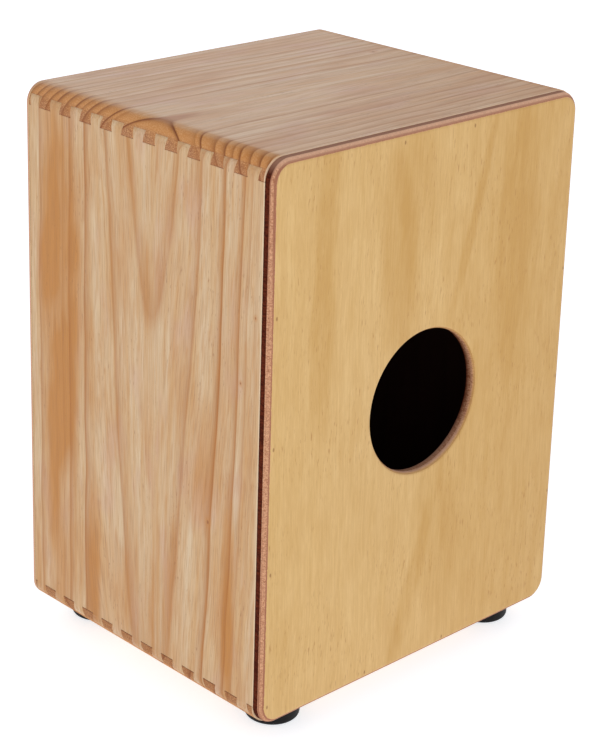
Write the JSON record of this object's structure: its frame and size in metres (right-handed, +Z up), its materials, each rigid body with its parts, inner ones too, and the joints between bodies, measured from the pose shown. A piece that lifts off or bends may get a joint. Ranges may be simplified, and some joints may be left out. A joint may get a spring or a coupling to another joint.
{
  "type": "cajon",
  "caption": "Box drum: dovetailed pine shell, thin plywood striking face, plywood rear panel with a round sound hole, rubber feet, snare strings tightened from below.",
  "frame": {"origin": "on the floor below the middle of the box: centre of the footprint of the whole instrument, at the feet's underside", "axes": "+Z up, tapa (striking face) towards -Y, sound hole towards +Y, +X to the right seen from the tapa side"},
  "size_m": [0.3, 0.255, 0.417],
  "materials": {
    "pine": "satin lacquer",
    "rear_plywood": "satin lacquer",
    "tapa_plywood": "satin lacquer",
    "beech": "planed, unfinished",
    "rubber": "matt moulded",
    "black_screw": "black oxide",
    "zinc_steel": "zinc plated",
    "brass": "drawn, slightly dull",
    "pin_steel": "turned",
    "string_steel": "wound steel"
  },
  "bodies": {
    "box": {"seat_panel": "pine", "bottom_panel": "pine", "side_panel_left": "pine", "side_panel_right": "pine", "rear_panel": "rear_plywood", "tapa": "tapa_plywood", "tuner_beam": "beech", "anchor_beam": "beech", "tuner_beam_spacer_left": "beech", "tuner_beam_spacer_right": "beech", "anchor_beam_spacer_left": "beech", "anchor_beam_spacer_right": "beech", "foot_front_left": "rubber", "foot_front_right": "rubber", "foot_rear_left": "rubber", "foot_rear_right": "rubber", "tapa_screws": "black_screw", "foot_screws": "zinc_steel", "foot_washers": "zinc_steel", "tuner_beam_screws": "zinc_steel", "anchor_beam_screws": "zinc_steel", "hitch_pins": "zinc_steel", "lower_string_rod": "brass", "upper_string_rod": "brass", "tuner_bush_left_outer": "brass", "tuner_bush_left_inner": "brass", "tuner_bush_right_inner": "brass", "tuner_bush_right_outer": "brass", "string_left_outer": "string_steel", "string_left_inner": "string_steel", "string_right_inner": "string_steel", "string_right_outer": "string_steel"},
    "tuner_left_outer": {"tuner_pin_left_outer": "pin_steel", "string_winding_left_outer": "string_steel"},
    "tuner_left_inner": {"tuner_pin_left_inner": "pin_steel", "string_winding_left_inner": "string_steel"},
    "tuner_right_inner": {"tuner_pin_right_inner": "pin_steel", "string_winding_right_inner": "string_steel"},
    "tuner_right_outer": {"tuner_pin_right_outer": "pin_steel", "string_winding_right_outer": "string_steel"}
  },
  "joints": [
    {"name": "tuner_left_outer_turn", "type": "hinge", "parent": "box", "child": "tuner_left_outer", "pos_m": [-0.0617, -0.09915, 0.041], "axis": [0, 0, 1], "range_deg": [-1260, 90]},
    {"name": "tuner_left_inner_turn", "type": "hinge", "parent": "box", "child": "tuner_left_inner", "pos_m": [-0.0397, -0.09915, 0.041], "axis": [0, 0, 1], "range_deg": [-1260, 90]},
    {"name": "tuner_right_inner_turn", "type": "hinge", "parent": "box", "child": "tuner_right_inner", "pos_m": [0.0397, -0.09915, 0.041], "axis": [0, 0, -1], "range_deg": [-1260, 90]},
    {"name": "tuner_right_outer_turn", "type": "hinge", "parent": "box", "child": "tuner_right_outer", "pos_m": [0.0617, -0.09915, 0.041], "axis": [0, 0, -1], "range_deg": [-1260, 90]}
  ]
}
